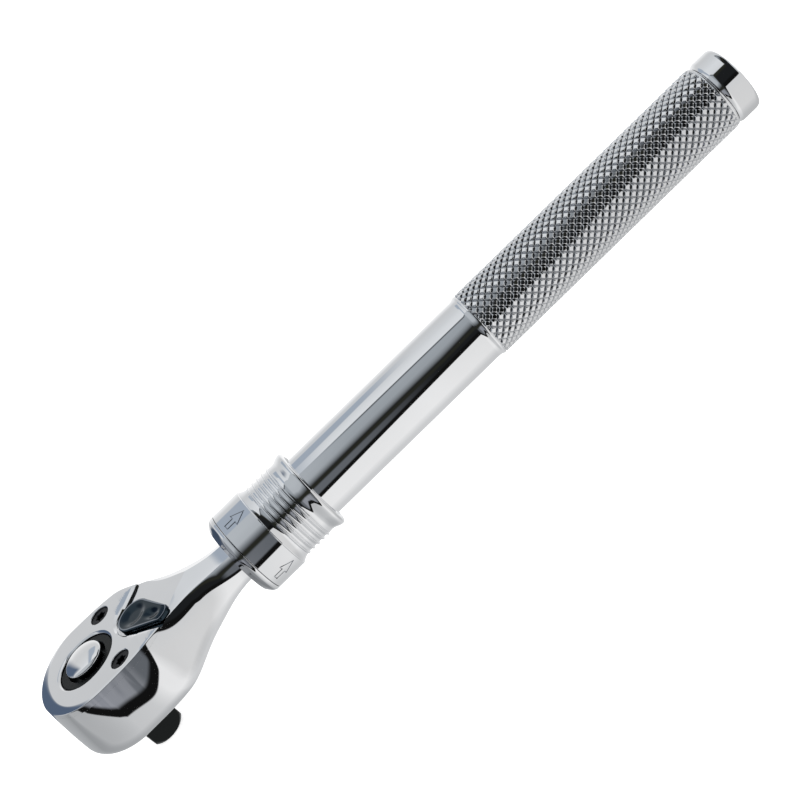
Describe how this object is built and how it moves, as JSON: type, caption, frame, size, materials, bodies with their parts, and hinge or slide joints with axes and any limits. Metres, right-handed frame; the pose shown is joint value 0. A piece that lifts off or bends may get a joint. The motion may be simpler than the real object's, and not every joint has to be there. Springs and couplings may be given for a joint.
{
  "type": "ratchet wrench",
  "caption": "Extendable ratchet wrench: teardrop head, square drive with push-button release, reversing lever, ribbed lock collar, telescopic knurled handle.",
  "frame": {"origin": "centre of the square drive's tip face", "axes": "+X along the handle towards its end, +Z from the drive's tip towards the release button, along the drive's axis"},
  "size_m": [0.3046, 0.0498, 0.0429],
  "materials": {
    "chrome_head": "mirror polished chrome plate",
    "chrome_bar": "ground and chrome plated, with light sliding marks",
    "chrome_plate": "mirror polished chrome plate",
    "chrome_button": "mirror polished chrome plate",
    "chrome_collar": "polished chrome plate over turned ribs",
    "chrome_handle": "polished chrome plate, diamond knurl on the grip",
    "black_drive": "black oxide, satin",
    "black_screw": "black oxide",
    "lever_grey": "dark blue-grey, glossy",
    "bare_steel": "ground, oiled",
    "spring_steel": "drawn wire",
    "seal_rubber": "matte"
  },
  "bodies": {
    "head": {"head_body": "chrome_head", "slide_bar": "chrome_bar", "face_plate": "chrome_plate", "face_screw_1": "black_screw", "face_screw_2": "black_screw", "thrust_washer": "bare_steel", "lever_seal": "seal_rubber", "lever_retaining_ring": "spring_steel", "pawl_pin": "bare_steel", "bar_stop_ring": "bare_steel"},
    "drive": {"drive_gear": "black_drive", "button_spring": "spring_steel"},
    "button": {"release_button": "chrome_button", "release_pin": "bare_steel"},
    "drive_ball": {"detent_ball": "bare_steel"},
    "lever": {"reverse_lever": "lever_grey", "lever_plunger": "bare_steel", "plunger_spring": "spring_steel"},
    "pawl": {"pawl": "bare_steel"},
    "handle": {"handle_tube": "chrome_handle", "end_cap": "chrome_handle", "lock_housing": "bare_steel", "nose_ring": "chrome_collar", "collar_spring": "spring_steel"},
    "collar": {"release_collar": "chrome_collar"},
    "lock_ball_top": {"lock_ball_1": "bare_steel"},
    "lock_ball_near": {"lock_ball_2": "bare_steel"},
    "lock_ball_bottom": {"lock_ball_3": "bare_steel"},
    "lock_ball_far": {"lock_ball_4": "bare_steel"}
  },
  "joints": [
    {"name": "drive_spin", "type": "hinge", "parent": "head", "child": "drive", "pos_m": [0, 0, 0.027], "axis": [0, 0, 1], "continuous": true},
    {"name": "button_press", "type": "slide", "parent": "drive", "child": "button", "axis": [0, 0, -1], "range_m": [0, 0.0025], "stiffness_N_per_m": 1500, "springref_m": -0.002, "deforming": ["button_spring"]},
    {"name": "detent_ball_drop", "type": "slide", "parent": "drive", "child": "drive_ball", "axis": [0.2588, -0.9659, 0], "range_m": [0, 0.0009]},
    {"name": "lever_swing", "type": "hinge", "parent": "head", "child": "lever", "pos_m": [0.0215, 0, 0.038], "axis": [0, 0, 1], "range_deg": [0, 108]},
    {"name": "pawl_rock", "type": "hinge", "parent": "head", "child": "pawl", "pos_m": [0.0149, 0, 0.029], "axis": [0, 0, 1], "range_deg": [-8.3, 0]},
    {"name": "handle_extend", "type": "slide", "parent": "head", "child": "handle", "axis": [1, 0, 0], "range_m": [0, 0.14]},
    {"name": "collar_slide", "type": "slide", "parent": "handle", "child": "collar", "axis": [1, 0, 0], "range_m": [0, 0.0045], "stiffness_N_per_m": 1500, "springref_m": -0.003, "deforming": ["collar_spring"]},
    {"name": "lock_ball_top_lift", "type": "slide", "parent": "handle", "child": "lock_ball_top", "axis": [0, 0, 1], "range_m": [0, 0.0013]},
    {"name": "lock_ball_near_lift", "type": "slide", "parent": "handle", "child": "lock_ball_near", "axis": [0, -1, 0], "range_m": [0, 0.0013]},
    {"name": "lock_ball_bottom_lift", "type": "slide", "parent": "handle", "child": "lock_ball_bottom", "axis": [0, 0, -1], "range_m": [0, 0.0013]},
    {"name": "lock_ball_far_lift", "type": "slide", "parent": "handle", "child": "lock_ball_far", "axis": [0, 1, 0], "range_m": [0, 0.0013]}
  ],
  "couplings": [
    {"joint": "detent_ball_drop", "follows": "button_press", "ratio": 0.36},
    {"joint": "pawl_rock", "follows": "lever_swing", "ratio": -0.075926},
    {"joint": "lock_ball_top_lift", "follows": "collar_slide", "ratio": 0.288},
    {"joint": "lock_ball_near_lift", "follows": "collar_slide", "ratio": 0.288},
    {"joint": "lock_ball_bottom_lift", "follows": "collar_slide", "ratio": 0.288},
    {"joint": "lock_ball_far_lift", "follows": "collar_slide", "ratio": 0.288}
  ]
}
